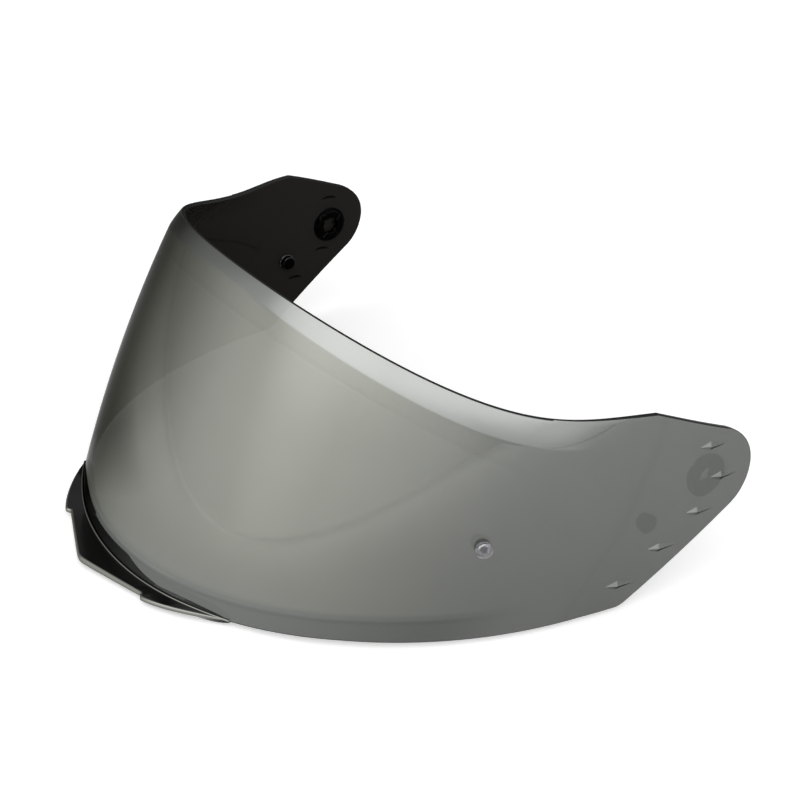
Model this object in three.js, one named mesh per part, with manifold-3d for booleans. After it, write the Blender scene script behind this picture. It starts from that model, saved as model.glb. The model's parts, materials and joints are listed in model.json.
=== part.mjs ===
// Motorcycle helmet visor: a mirrored one-piece wrap-around shield with two side ears,
// a black chin ledge along its lower lip, a pivot ring and a guide post inside each ear,
// and a turning eccentric pin through each side of the lens. Millimetres, +Z up, the front faces -Y.
import * as THREE from 'three';
import { mergeVertices } from 'three/addons/utils/BufferGeometryUtils.js';
import Module from 'manifold-3d';

const wasm = await Module();
wasm.setup();

const degrees = THREE.MathUtils.degToRad;

// Form of the outer face, measured round the section (run) and up the front line (rise)
const frontRadius = 122;
const frontSweep = degrees(56.3);
const sideRadius = 155;
const sideSweep = degrees(29.4);
const bowRadius = 498;
const bowCentreRise = 10.4;
const taperRun = 1446;
const leanBack = degrees(40.4);

// Sheet
const sheetThickness = 2.2;
const edgeRound = 0.3;
const clearance = 0.3;
const overrun = 4;

// Upper edge, from the centre line to the ear's rear corner
const browRise = -64.1;
const browFlat = 132.4;
const templeRise = -27.1;
const templeBeforeCheek = 27.5;
const templePull = 38.4;
const templeSlope = degrees(33.5);
const earTopRise = -17.1;
const earTopBehindCheek = 3.7;

// Lower edge, from the centre line to the ear's lower corner
const footRise = -180.4;
const footFlat = 75.9;
const earFootRise = -92.8;
const earFootBehindCheek = 10.4;
const footPull = 81.2;
const footSlope = degrees(38.8);

// Rear edge of the ear: lower corner round, straight, then the rounded tip
const earCornerReach = 2.7;
const earBackRise = -39;
const earBackBehindCheek = 27.5;
const earBackSlope = degrees(73.4);
const earBackPull = 11.2;
const earTopPull = 19.5;
const earTopSlope = degrees(15.8);

// Inward-turned band under the upper edge
const bandCentreHeight = 5.3;
const bandTempleHeight = 11.5;
const bandCentreInset = 2;
const bandTempleInset = 0.6;

// Viewing recess moulded into the inner face
const recessDepth = 0.5;
const recessStep = 1.2;
const footRimCentre = 7;
const footRimSide = 12;
const topRimCentre = 14;
const topRimSide = 36;
const earLineFootShare = 0.9;

// Faceted raised diamonds on the ears
const diamondLength = 14.2;
const diamondWidth = 3.7;
const diamondHeight = 0.9;
const diamondRoot = 1.2;
const diamondSink = 0.05;
const diamondTilt = degrees(34.1);
const diamondCrestShare = 0.37;
const diamondReach = 28;
const diamondDrop = 75;
const diamondPlaceShares = [[0.09, 0.102], [0.564, 0.189], [0.572, 0.392], [0.392, 0.633], [0.204, 0.885]];

// Chin ledge
const ledgeHalfArc = 77;
const noseReach = 12.2;
const noseRise = 3;
const noseThickness = 2.8;
const notchArc = 37;
const notchStep = 3.4;
const notchReach = 5.9;
const wingReach = 8.1;
const wingFall = 1.4;
const wingRise = 1.5;
const wingThickness = 1.9;
const ledgeLap = 0.5;
const ledgeHeel = 0.8;
const ledgeRibRise = 1.8;
const ledgeBack = 5.2;
const ledgeFloor = 1.2;
const ledgeTipShare = 0.2;

// Pivot ring inside each ear
const hubBehindCheek = 10.2;
const hubRise = -35.2;
const hubOuter = 6.8;
const hubBore = 3.8;
const hubFlange = 8.2;
const hubFlangeThickness = 0.8;
const hubHeight = 2.4;
const hubChamfer = 0.4;
const hubNotchWidth = 1.6;
const hubNotchDepth = 0.8;
const hubNotches = 4;

// Guide post inside each ear
const postBeforeCheek = -0.1;
const postRise = -60.7;
const postRadius = 3.1;
const postFoot = 3.7;
const postFootThickness = 0.7;
const postHeight = 3;
const postChamfer = 0.6;

// Eccentric pin through each side of the lens
const pinBeforeCheek = 54.8;
const pinRise = -96.6;
const shankRadius = 1.5;
const shankInHead = 0.8;
const pinFlange = 3.4;
const pinFlangeThickness = 0.8;
const pinNeck = 1.9;
const pinNeckLength = 1.7;
const pinTip = 2.9;
const pinTipThickness = 0.9;
const pinThrow = 0.7;
const headRadius = 2.9;
const headHeight = 2;
const headChamfer = 0.4;
const socketRadius = 1.3;
const socketDepth = 0.5;

// Facet counts
const lensColumns = 26;
const earColumns = 10;
const viewRows = 5;
const bandRows = 3;
const cornerRows = 3;
const straightRows = 2;
const roundSides = 32;
const noseStations = 5;
const wingStations = 9;

// Sizes that follow
const frontArc = frontRadius * frontSweep;
const cheekRun = frontArc + sideRadius * sideSweep;
const fullSweep = frontSweep + sideSweep;

// Section of the outer face at right angles to the front line
function sectionAt(run) {
  const length = Math.abs(run);
  const front = Math.min(length / frontRadius, frontSweep);
  const side = THREE.MathUtils.clamp((length - frontArc) / sideRadius, 0, sideSweep);
  const straight = Math.max(length - cheekRun, 0);
  const turn = front + side;
  const across = frontRadius * Math.sin(front) + sideRadius * (Math.sin(turn) - Math.sin(front));
  const back = frontRadius * (1 - Math.cos(front)) + sideRadius * (Math.cos(front) - Math.cos(turn));
  const hand = run < 0 ? -1 : 1;
  return {
    across: hand * (across + straight * Math.cos(fullSweep)),
    back: back + straight * Math.sin(fullSweep),
    outward: new THREE.Vector2(hand * Math.sin(turn), -Math.cos(turn)),
  };
}

// A place given by width, depth and rise along the leaning front line, stood up on the ground
function stand(across, back, rise) {
  const y = back * Math.cos(leanBack) + rise * Math.sin(leanBack);
  const z = rise * Math.cos(leanBack) - back * Math.sin(leanBack);
  return new THREE.Vector3(across, y, z);
}

// Point of the outer face, sunk by an inset along the section's own normal
function facePoint(place, inset = 0) {
  const section = sectionAt(place.x);
  const sink = (place.y - bowCentreRise) ** 2 / (2 * bowRadius) + inset;
  const spread = 1 - place.y / taperRun;
  const across = section.across * spread - section.outward.x * sink;
  return stand(across, section.back - section.outward.y * sink, place.y);
}

// Outward normal of the outer face
function faceNormal(place) {
  const section = sectionAt(place.x);
  const tilt = (place.y - bowCentreRise) / bowRadius;
  return stand(section.outward.x, section.outward.y, tilt).normalize();
}

// Outline of one half, unrolled: x is the run, y the rise
const templeCorner = new THREE.Vector2(cheekRun - templeBeforeCheek, templeRise);
const earTopCorner = new THREE.Vector2(cheekRun + earTopBehindCheek, earTopRise);
const earFootCorner = new THREE.Vector2(cheekRun + earFootBehindCheek, earFootRise);
const earBack = new THREE.Vector2(cheekRun + earBackBehindCheek, earBackRise);

function heading(angle, length) {
  return new THREE.Vector2(Math.cos(angle), Math.sin(angle)).multiplyScalar(length);
}

const browCurve = new THREE.CubicBezierCurve(
  new THREE.Vector2(0, browRise),
  new THREE.Vector2(browFlat, browRise),
  templeCorner.clone().sub(heading(templeSlope, templePull)),
  templeCorner,
);
const footCurve = new THREE.CubicBezierCurve(
  new THREE.Vector2(0, footRise),
  new THREE.Vector2(footFlat, footRise),
  earFootCorner.clone().sub(heading(footSlope, footPull)),
  earFootCorner,
);
const earCornerTop = earFootCorner.clone().add(heading(footSlope, earCornerReach))
  .add(heading(earBackSlope, earCornerReach));
const rearCorner = new THREE.QuadraticBezierCurve(
  earFootCorner,
  earFootCorner.clone().add(heading(footSlope, earCornerReach)),
  earCornerTop,
);
const rearStraight = new THREE.LineCurve(earCornerTop, earBack);
const rearTip = new THREE.CubicBezierCurve(
  earBack,
  earBack.clone().add(heading(earBackSlope, earBackPull)),
  earTopCorner.clone().add(heading(earTopSlope, earTopPull)),
  earTopCorner,
);

// Heights of the grid lines up the lens, as shares of the column from foot to brow
function rowShares(column) {
  const foot = footCurve.getPointAt(column * earLineFootShare);
  const height = foot.distanceTo(browCurve.getPointAt(column));
  const footRim = THREE.MathUtils.lerp(footRimCentre, footRimSide, column ** 2) / height;
  const topRim = THREE.MathUtils.lerp(topRimCentre, topRimSide, column ** 5) / height;
  const crease = 1 - THREE.MathUtils.lerp(bandCentreHeight, bandTempleHeight, column) / height;
  const step = recessStep / height;
  const lower = footRim + step;
  const upper = 1 - topRim - step;
  const shares = [0, footRim];
  for (let row = 0; row <= viewRows; row += 1) {
    shares.push(THREE.MathUtils.lerp(lower, upper, row / viewRows));
  }
  shares.push(1 - topRim);
  for (let row = 0; row <= bandRows; row += 1) {
    shares.push(THREE.MathUtils.lerp(crease, 1, row / bandRows));
  }
  return shares;
}

const rowCount = rowShares(0).length;
const creaseRow = rowCount - 1 - bandRows;

// Unrolled place of a grid corner on the lens
function lensPlace(column, row) {
  const foot = footCurve.getPointAt(column * earLineFootShare);
  return foot.lerp(browCurve.getPointAt(column), rowShares(column)[row]);
}

// Place on the rear edge: the corner, the straight and the tip each take their own rows
function rearPlace(row) {
  if (row <= cornerRows) return rearCorner.getPoint(row / cornerRows);
  const rest = row - cornerRows;
  if (rest <= straightRows) return rearStraight.getPoint(rest / straightRows);
  return rearTip.getPointAt((rest - straightRows) / (rowCount - 1 - cornerRows - straightRows));
}

// Unrolled place on the ear, blended from its four edges
function earPlace(column, row) {
  const share = THREE.MathUtils.lerp(rowShares(1)[row], row / (rowCount - 1), column);
  const footShare = THREE.MathUtils.lerp(earLineFootShare, 1, column);
  const lineFoot = footCurve.getPointAt(earLineFootShare);
  const front = lineFoot.clone().lerp(templeCorner, rowShares(1)[row]);
  const rear = rearPlace(row);
  const low = footCurve.getPointAt(footShare);
  const high = templeCorner.clone().lerp(earTopCorner, column);
  const across = front.lerp(rear, column);
  const upright = low.lerp(high, share);
  const corners = lineFoot.lerp(earFootCorner, column).lerp(high, share);
  return across.add(upright).sub(corners);
}

const columnCount = lensColumns + earColumns;

// One grid corner of the outer face, with the band turned in under the upper edge
function gridPoint(index, row) {
  const column = Math.abs(index);
  const onLens = column <= lensColumns;
  const earShare = onLens ? 0 : (column - lensColumns) / earColumns;
  const place = onLens ? lensPlace(column / lensColumns, row) : earPlace(earShare, row);
  const bandShare = Math.max(row - creaseRow, 0) / bandRows;
  const lensShare = Math.min(column / lensColumns, 1);
  const inset = THREE.MathUtils.lerp(bandCentreInset, bandTempleInset, lensShare) * (1 - earShare);
  place.x *= Math.sign(index);
  return facePoint(place, inset * bandShare ** 2);
}

// The viewing recess lies between the rims and in front of the ear line
function inRecess(index, row) {
  return Math.abs(index) < lensColumns && row > 1 && row < creaseRow - 1;
}

const wide = 2 * columnCount + 1;
const faceGrid = [];
for (let row = 0; row < rowCount; row += 1) {
  for (let index = -columnCount; index <= columnCount; index += 1) {
    faceGrid.push(gridPoint(index, row));
  }
}

function gridAt(column, row) {
  return faceGrid[row * wide + column];
}

function gridNormal(column, row) {
  const left = gridAt(Math.max(column - 1, 0), row);
  const right = gridAt(Math.min(column + 1, wide - 1), row);
  const below = gridAt(column, Math.max(row - 1, 0));
  const above = gridAt(column, Math.min(row + 1, rowCount - 1));
  return right.clone().sub(left).cross(above.clone().sub(below)).normalize();
}

// Grid corners round the rim, anticlockwise seen from outside
function rimCorners() {
  const corners = [];
  for (let column = 0; column < wide; column += 1) {
    corners.push([column, 0]);
  }
  for (let row = 1; row < rowCount; row += 1) {
    corners.push([wide - 1, row]);
  }
  for (let column = wide - 2; column >= 0; column -= 1) {
    corners.push([column, rowCount - 1]);
  }
  for (let row = rowCount - 2; row > 0; row -= 1) {
    corners.push([0, row]);
  }
  return corners;
}

// Direction in the sheet that points away from the grid's inside at a rim corner
function rimOutward(column, row) {
  const inColumn = THREE.MathUtils.clamp(column, 1, wide - 2);
  const inRow = THREE.MathUtils.clamp(row, 1, rowCount - 2);
  return gridAt(column, row).clone().sub(gridAt(inColumn, inRow)).normalize();
}

// Closed shell of the sheet, grown all round by a margin where it serves as a cutter
function sheetGeometry(margin, withRecess) {
  const points = [];
  const faces = [];
  for (const layer of [0, 1]) {
    for (let row = 0; row < rowCount; row += 1) {
      for (let column = 0; column < wide; column += 1) {
        const recess = withRecess && inRecess(column - columnCount, row) ? recessDepth : 0;
        const depth = layer ? sheetThickness - recess + margin : -margin;
        const onRim = row === 0 || row === rowCount - 1 || column === 0 || column === wide - 1;
        const point = gridAt(column, row).clone().addScaledVector(gridNormal(column, row), -depth);
        if (onRim) point.addScaledVector(rimOutward(column, row), margin);
        points.push(point);
      }
    }
  }
  const layerSize = rowCount * wide;
  for (let row = 0; row < rowCount - 1; row += 1) {
    for (let column = 0; column < wide - 1; column += 1) {
      const low = row * wide + column;
      const high = low + wide;
      faces.push([low, low + 1, high + 1], [low, high + 1, high]);
      faces.push([layerSize + low, layerSize + high + 1, layerSize + low + 1]);
      faces.push([layerSize + low, layerSize + high, layerSize + high + 1]);
    }
  }
  const rim = rimCorners();
  const loops = [rim.map(([column, row]) => row * wide + column)];
  for (const depth of [edgeRound, sheetThickness - edgeRound]) {
    loops.push(rim.map(([column, row]) => {
      const point = gridAt(column, row).clone().addScaledVector(gridNormal(column, row), -depth);
      points.push(point.addScaledVector(rimOutward(column, row), edgeRound + margin));
      return points.length - 1;
    }));
  }
  loops.push(loops[0].map((corner) => corner + layerSize));
  for (let level = 0; level < loops.length - 1; level += 1) {
    faces.push(...band(loops[level], loops[level + 1]));
  }
  return meshOf(points, faces);
}

// Two triangles for each step between two closed loops of equal length
function band(upper, lower) {
  return upper.flatMap((corner, step) => {
    const next = (step + 1) % upper.length;
    return [[corner, lower[step], lower[next]], [corner, lower[next], upper[next]]];
  });
}

function meshOf(points, faces) {
  const geometry = new THREE.BufferGeometry().setFromPoints(points);
  geometry.setIndex(faces.flat());
  return geometry;
}

function solidOf(source) {
  const bare = source.clone();
  bare.deleteAttribute('normal');
  bare.deleteAttribute('uv');
  const merged = mergeVertices(bare);
  const vertProperties = new Float32Array(merged.attributes.position.array);
  const triVerts = new Uint32Array(merged.index.array);
  return new wasm.Manifold(new wasm.Mesh({ numProp: 3, vertProperties, triVerts }));
}

function geometryOf(solid) {
  const mesh = solid.getMesh();
  const geometry = new THREE.BufferGeometry();
  geometry.setAttribute('position', new THREE.BufferAttribute(new Float32Array(mesh.vertProperties), 3));
  geometry.setIndex([...mesh.triVerts]);
  geometry.computeVertexNormals();
  return geometry;
}

// Frame that takes +Y of a turned piece to an axis through a point
function frameAt(origin, axis) {
  const turn = new THREE.Quaternion().setFromUnitVectors(new THREE.Vector3(0, 1, 0), axis);
  return new THREE.Matrix4().compose(origin, turn, new THREE.Vector3(1, 1, 1));
}

function turned(profile) {
  const points = profile.map(([radius, height]) => new THREE.Vector2(radius, height));
  return new THREE.LatheGeometry(points, roundSides);
}

function rod(radius, from, to) {
  return turned([[0, from], [radius, from], [radius, to], [0, to]]);
}

// Places and axes that the fitted pieces share
function pinFrame(hand) {
  const place = new THREE.Vector2(hand * (cheekRun - pinBeforeCheek), pinRise);
  return frameAt(facePoint(place), faceNormal(place));
}

function inwardFrame(hand, run, rise) {
  const place = new THREE.Vector2(hand * run, rise);
  const seat = facePoint(place).addScaledVector(faceNormal(place), -sheetThickness);
  return frameAt(seat, new THREE.Vector3(-hand, 0, 0));
}

// Raised diamond with four facets, rooted in the sheet
function diamondGeometry(hand, [reachShare, dropShare]) {
  const middle = new THREE.Vector2(
    cheekRun + diamondReach * reachShare,
    earTopRise - diamondDrop * dropShare,
  );
  const along = heading(diamondTilt, diamondLength);
  const beside = heading(diamondTilt + Math.PI / 2, diamondWidth / 2);
  const front = middle.clone().addScaledVector(along, -1 / 2);
  const crest = front.clone().addScaledVector(along, diamondCrestShare);
  const outline = [
    front,
    crest.clone().sub(beside),
    front.clone().add(along),
    crest.clone().add(beside),
  ];
  const lift = (place, height) => {
    const handed = new THREE.Vector2(hand * place.x, place.y);
    return facePoint(handed).addScaledVector(faceNormal(handed), height);
  };
  const points = [lift(crest, diamondHeight), lift(crest, -diamondRoot)];
  points.push(...outline.map((place) => lift(place, -diamondSink)));
  const faces = [0, 1, 2, 3].flatMap((corner) => {
    const here = 2 + corner;
    const next = 2 + (corner + 1) % outline.length;
    return hand > 0 ? [[0, here, next], [1, next, here]] : [[0, next, here], [1, here, next]];
  });
  return meshOf(points, faces);
}

function shieldGeometry() {
  let shield = solidOf(sheetGeometry(0, true));
  for (const hand of [1, -1]) {
    for (const shares of diamondPlaceShares) {
      shield = shield.add(solidOf(diamondGeometry(hand, shares)));
    }
    const hole = rod(shankRadius + clearance, -sheetThickness - overrun, overrun);
    shield = shield.subtract(solidOf(hole.applyMatrix4(pinFrame(hand))));
  }
  return geometryOf(shield);
}

const clearSheet = solidOf(sheetGeometry(clearance, false));

// Foot of the lens at a signed arc length from the centre line
const footLength = footCurve.getLength();

function footPoint(arc) {
  const place = footCurve.getPointAt(Math.abs(arc) / footLength);
  place.x *= Math.sign(arc);
  return facePoint(place);
}

// Chin ledge: a level shelf with a shallow pointed nose, notched wings and a channel for the lens foot
function ledgeGeometry(groundLevel) {
  const centre = footPoint(0);
  const notch = footPoint(notchArc);
  const noseSlope = (notch.y - notchReach - centre.y + noseReach) / notch.x;
  const arcs = [];
  for (let step = 0; step <= noseStations; step += 1) {
    arcs.push(notchArc * step / noseStations);
  }
  const wingStart = notchArc + notchStep;
  for (let step = 0; step <= wingStations; step += 1) {
    arcs.push(THREE.MathUtils.lerp(wingStart, ledgeHalfArc, step / wingStations));
  }
  const signed = [...arcs.slice(1).reverse().map((arc) => -arc), ...arcs];
  const points = [];
  const rings = signed.map((arc) => {
    const foot = footPoint(arc);
    const length = Math.abs(arc);
    const wingShare = Math.max(length - wingStart, 0) / (ledgeHalfArc - wingStart);
    const straight = centre.y - noseReach + noseSlope * Math.abs(foot.x);
    const wing = foot.y - wingReach * (1 - wingShare ** wingFall);
    const outer = length <= notchArc ? straight : wing;
    const wingward = Math.min(length / notchArc, 1);
    const rise = THREE.MathUtils.lerp(noseRise, wingRise, wingward);
    const thickness = THREE.MathUtils.lerp(noseThickness, wingThickness, wingward);
    const tip = 1 - (1 - ledgeTipShare) * wingShare ** 4;
    const level = THREE.MathUtils.lerp(foot.z - clearance, groundLevel, tip);
    const back = foot.y + ledgeBack * tip;
    const section = [
      [outer, foot.z + (rise - thickness) * tip],
      [outer, foot.z + rise * tip],
      [foot.y, foot.z + ledgeLap * tip],
      [back, foot.z + ledgeRibRise * tip],
      [back, level],
      [foot.y - ledgeHeel * tip, level],
    ];
    return section.map(([y, z]) => points.push(new THREE.Vector3(foot.x, y, z)) - 1);
  });
  const faces = [];
  for (let station = 0; station < rings.length - 1; station += 1) {
    faces.push(...band(rings[station], rings[station + 1]));
  }
  const first = rings[0];
  const last = rings[rings.length - 1];
  for (let corner = 1; corner < first.length - 1; corner += 1) {
    faces.push([first[0], first[corner], first[corner + 1]]);
    faces.push([last[0], last[corner + 1], last[corner]]);
  }
  const shelf = solidOf(meshOf(points, faces));
  return geometryOf(shelf.subtract(clearSheet));
}

// Pivot ring: flanged, chamfered and notched at its inner end, its foot cut to the ear
function hubGeometry(hand) {
  const frame = inwardFrame(hand, cheekRun + hubBehindCheek, hubRise);
  let ring = solidOf(turned([
    [hubBore, -overrun],
    [hubFlange, -overrun],
    [hubFlange, hubFlangeThickness],
    [hubOuter, hubFlangeThickness],
    [hubOuter, hubHeight - hubChamfer],
    [hubOuter - hubChamfer, hubHeight],
    [hubBore + hubChamfer, hubHeight],
    [hubBore, hubHeight - hubChamfer],
    [hubBore, -overrun],
  ]));
  for (let notch = 0; notch < hubNotches; notch += 1) {
    const slot = new THREE.BoxGeometry(hubOuter, hubNotchDepth * 2, hubNotchWidth);
    slot.translate(hubBore, hubHeight, 0);
    slot.rotateY((notch + 1 / 2) * 2 * Math.PI / hubNotches);
    ring = ring.subtract(solidOf(slot));
  }
  return fittedInside(ring, frame, hand);
}

function postGeometry(hand) {
  const frame = inwardFrame(hand, cheekRun - postBeforeCheek, postRise);
  const post = solidOf(turned([
    [0, -overrun],
    [postFoot, -overrun],
    [postFoot, postFootThickness],
    [postRadius, postFootThickness],
    [postRadius, postHeight - postChamfer],
    [postRadius - postChamfer, postHeight],
    [0, postHeight],
  ]));
  return fittedInside(post, frame, hand);
}

// Keeps what lies inside the ear, with the clearance to its inner face
function fittedInside(solid, frame, hand) {
  const placed = solidOf(geometryOf(solid).applyMatrix4(frame));
  const pieces = placed.subtract(clearSheet).decompose();
  const inner = (piece) => {
    const box = piece.boundingBox();
    return -hand * (box.min[0] + box.max[0]);
  };
  const kept = pieces.reduce((best, piece) => (inner(piece) > inner(best) ? piece : best));
  return geometryOf(kept);
}

// Inner half of the pin: shank, flange, then the neck and tip off centre by the throw
function studGeometry(hand) {
  const inside = -(sheetThickness - recessDepth) - clearance;
  const underHead = clearance + shankInHead;
  const flangeEnd = inside - pinFlangeThickness;
  const neckEnd = flangeEnd - pinNeckLength;
  let stud = solidOf(rod(shankRadius, flangeEnd, underHead));
  stud = stud.add(solidOf(rod(pinFlange, flangeEnd, inside)));
  const offCentre = [rod(pinNeck, neckEnd - pinTipThickness, flangeEnd + pinFlangeThickness / 2)];
  offCentre.push(rod(pinTip, neckEnd - pinTipThickness, neckEnd));
  for (const piece of offCentre) {
    stud = stud.add(solidOf(piece.translate(pinThrow, 0, 0)));
  }
  return geometryOf(stud).applyMatrix4(pinFrame(hand));
}

// Clear outer head: a low button with a hexagonal socket outside and a bore for the shank
function headGeometry(hand) {
  const top = clearance + headHeight;
  let head = solidOf(turned([
    [0, clearance],
    [headRadius, clearance],
    [headRadius, top - headChamfer],
    [headRadius - headChamfer, top],
    [0, top],
  ]));
  head = head.subtract(solidOf(rod(shankRadius + clearance, 0, clearance + shankInHead + clearance)));
  const socket = new THREE.CylinderGeometry(socketRadius, socketRadius, socketDepth * 2, 6);
  head = head.subtract(solidOf(socket.translate(0, top, 0)));
  return geometryOf(head).applyMatrix4(pinFrame(hand));
}

const mirrorCoat = new THREE.MeshStandardMaterial({ color: 0xb4b6ae, roughness: 0.12, metalness: 0.9 });
const blackGloss = new THREE.MeshStandardMaterial({ color: 0x161616, roughness: 0.22, metalness: 0 });
const clearPlastic = new THREE.MeshStandardMaterial({ color: 0xc9cbc6, roughness: 0.1, metalness: 0 });

const visor = new THREE.Group();

function addPiece(name, geometry, material) {
  const piece = new THREE.Mesh(geometry, material);
  piece.name = name;
  visor.add(piece);
  return piece;
}

const shield = addPiece('shield', shieldGeometry(), mirrorCoat);
const shieldBox = new THREE.Box3().setFromObject(shield);
const lensFoot = footPoint(0).z - edgeRound - clearance;
const groundLevel = Math.min(shieldBox.min.z, lensFoot - ledgeFloor);
addPiece('chin_ledge', ledgeGeometry(groundLevel), blackGloss);

for (const [side, hand] of [['left', 1], ['right', -1]]) {
  addPiece(`pivot_hub_${side}`, hubGeometry(hand), blackGloss);
  addPiece(`guide_post_${side}`, postGeometry(hand), blackGloss);
  addPiece(`pin_stud_${side}`, studGeometry(hand), blackGloss);
  addPiece(`pin_head_${side}`, headGeometry(hand), clearPlastic);
}

// The origin lies on the ground under the middle of the visor
const whole = new THREE.Box3().setFromObject(visor);
const middle = whole.getCenter(new THREE.Vector3());
visor.position.set(-middle.x, -middle.y, -whole.min.z);

export default visor;
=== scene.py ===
import json
import math
from bisect import bisect_left
import bpy
from mathutils import Matrix, Vector
from mathutils.geometry import interpolate_bezier


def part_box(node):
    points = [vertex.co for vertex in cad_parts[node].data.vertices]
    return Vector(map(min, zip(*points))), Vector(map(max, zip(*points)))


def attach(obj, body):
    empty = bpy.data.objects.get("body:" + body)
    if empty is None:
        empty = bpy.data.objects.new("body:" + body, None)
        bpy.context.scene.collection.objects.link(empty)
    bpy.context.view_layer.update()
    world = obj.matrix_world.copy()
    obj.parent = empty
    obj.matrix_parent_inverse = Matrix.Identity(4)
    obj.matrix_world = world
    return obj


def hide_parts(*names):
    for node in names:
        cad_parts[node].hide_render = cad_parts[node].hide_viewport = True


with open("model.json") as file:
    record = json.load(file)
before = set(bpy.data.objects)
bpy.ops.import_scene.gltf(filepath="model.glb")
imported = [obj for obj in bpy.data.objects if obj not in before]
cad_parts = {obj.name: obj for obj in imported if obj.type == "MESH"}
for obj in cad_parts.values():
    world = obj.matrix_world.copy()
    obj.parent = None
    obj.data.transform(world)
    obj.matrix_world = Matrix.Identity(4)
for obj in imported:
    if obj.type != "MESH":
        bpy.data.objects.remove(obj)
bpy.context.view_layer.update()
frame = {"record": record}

mm = 0.001


# Camera: stands in front of the visor, to the wearer's left and above, a little over half a metre away,
# and looks down on it at about thirty degrees.
bpy.ops.object.camera_add(
    location=(0.442098, -0.263512, 0.341020),
    rotation=[math.radians(angle) for angle in (59.6163, -1.0340, 56.2328)],
)
camera = bpy.context.object
camera.data.lens = 69.519
camera.data.sensor_width = 36
bpy.context.scene.camera = camera


# Shield: one moulded sheet of smoke-tinted polycarbonate with an ear at each end and a silver mirror coating
# outside. It is laid out flat by run, round the section, and rise, up the leaning front line, carried onto
# the curved face and given its thickness. The viewing recess is moulded into its inner face.
front_radius = 122 * mm
front_sweep = math.radians(56.3)
side_radius = 155 * mm
side_sweep = math.radians(29.4)
bow_radius = 498 * mm
bow_centre_rise = 10.4 * mm
taper_run = 1446 * mm
lean_back = math.radians(40.4)
sheet_thickness = 2.2 * mm
edge_round = 0.3 * mm
front_arc = front_radius * front_sweep
cheek_run = front_arc + side_radius * side_sweep
full_sweep = front_sweep + side_sweep

# Moulded lines up the lens: 0 is the foot, 1 the top of the foot's rim, 2 and 7 the edges of the viewing
# recess, 8 the foot of the upper rim, 9 the crease of the turned-in band, and 12 the brow
recess_lines = (2, 7)
crease_line = 9
lens_columns = 84
ear_columns = 30
half_columns = lens_columns + ear_columns
line_steps = (4, 2, 3, 3, 3, 3, 3, 2, 4, 3, 2, 2)
fine_rows = [0.0]
for line, steps in enumerate(line_steps):
    fine_rows += [line + (step + 1) / steps for step in range(steps)]
fine_rows = sorted(fine_rows + [crease_line - 0.1, crease_line + 0.12])
last_line = len(line_steps)


def section_at(run):
    """Width, depth and outward direction of the outer face, measured round its section."""
    length = abs(run)
    hand = -1 if run < 0 else 1
    front = min(length / front_radius, front_sweep)
    side = min(max((length - front_arc) / side_radius, 0), side_sweep)
    straight = max(length - cheek_run, 0)
    turn = front + side
    across = front_radius * math.sin(front) + side_radius * (math.sin(turn) - math.sin(front))
    back = front_radius * (1 - math.cos(front)) + side_radius * (math.cos(front) - math.cos(turn))
    across += straight * math.cos(full_sweep)
    back += straight * math.sin(full_sweep)
    return hand * across, back, Vector((hand * math.sin(turn), -math.cos(turn)))


def stand(across, back, rise):
    """A width, a depth and a rise along the leaning front line, stood up on the ground."""
    lean_cos = math.cos(lean_back)
    lean_sin = math.sin(lean_back)
    return Vector((across, back * lean_cos + rise * lean_sin, rise * lean_cos - back * lean_sin))


def face_point(run, rise, inset=0.0):
    across, back, outward = section_at(run)
    sink = (rise - bow_centre_rise) ** 2 / (2 * bow_radius) + inset
    taper = 1 - rise / taper_run
    return stand(across * taper - outward.x * sink, back - outward.y * sink, rise)


def face_normal(run, rise):
    outward = section_at(run)[2]
    return stand(outward.x, outward.y, (rise - bow_centre_rise) / bow_radius).normalized()


def heading(angle, length):
    return Vector((math.cos(angle), math.sin(angle))) * length


def even_curve(*ends_and_handles):
    """Points along a curve, with the length reached at each."""
    points = interpolate_bezier(*ends_and_handles, 400)
    lengths = [0.0]
    for here, following in zip(points, points[1:]):
        lengths.append(lengths[-1] + (following - here).length)
    return points, lengths


def point_along(curve, share):
    points, lengths = curve
    goal = share * lengths[-1]
    step = min(max(bisect_left(lengths, goal), 1), len(points) - 1)
    rest = (goal - lengths[step - 1]) / (lengths[step] - lengths[step - 1])
    return points[step - 1].lerp(points[step], rest)


def mix(low, high, share):
    return low + (high - low) * share


def eased(share):
    """A share kept between 0 and 1, with a soft start and end."""
    share = min(max(share, 0), 1)
    return share * share * (3 - 2 * share)


temple_corner = Vector((cheek_run - 27.5 * mm, -27.1 * mm))
ear_top = Vector((cheek_run + 3.7 * mm, -17.1 * mm))
ear_foot = Vector((cheek_run + 10.4 * mm, -92.8 * mm))
ear_back = Vector((cheek_run + 27.5 * mm, -39 * mm))
temple_slope = math.radians(33.5)
foot_slope = math.radians(38.8)
back_slope = math.radians(73.4)
ear_top_slope = math.radians(15.8)
corner_middle = ear_foot + heading(foot_slope, 2.7 * mm)
ear_corner_top = corner_middle + heading(back_slope, 2.7 * mm)

brow = even_curve(
    Vector((0, -64.1 * mm)),
    Vector((132.4 * mm, -64.1 * mm)),
    temple_corner - heading(temple_slope, 38.4 * mm),
    temple_corner,
)
foot = even_curve(
    Vector((0, -180.4 * mm)),
    Vector((75.9 * mm, -180.4 * mm)),
    ear_foot - heading(foot_slope, 81.2 * mm),
    ear_foot,
)
rear_corner = even_curve(
    ear_foot,
    ear_foot.lerp(corner_middle, 2 / 3),
    ear_corner_top.lerp(corner_middle, 2 / 3),
    ear_corner_top,
)
rear_straight = even_curve(
    ear_corner_top,
    ear_corner_top.lerp(ear_back, 1 / 3),
    ear_corner_top.lerp(ear_back, 2 / 3),
    ear_back,
)
rear_tip = even_curve(
    ear_back,
    ear_back + heading(back_slope, 11.2 * mm),
    ear_top + heading(ear_top_slope, 19.5 * mm),
    ear_top,
)
ear_line_foot_share = 0.9
band_depth_front = 2 * mm
band_depth_side = 1.1 * mm
flare_depth = 0.55 * mm


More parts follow.
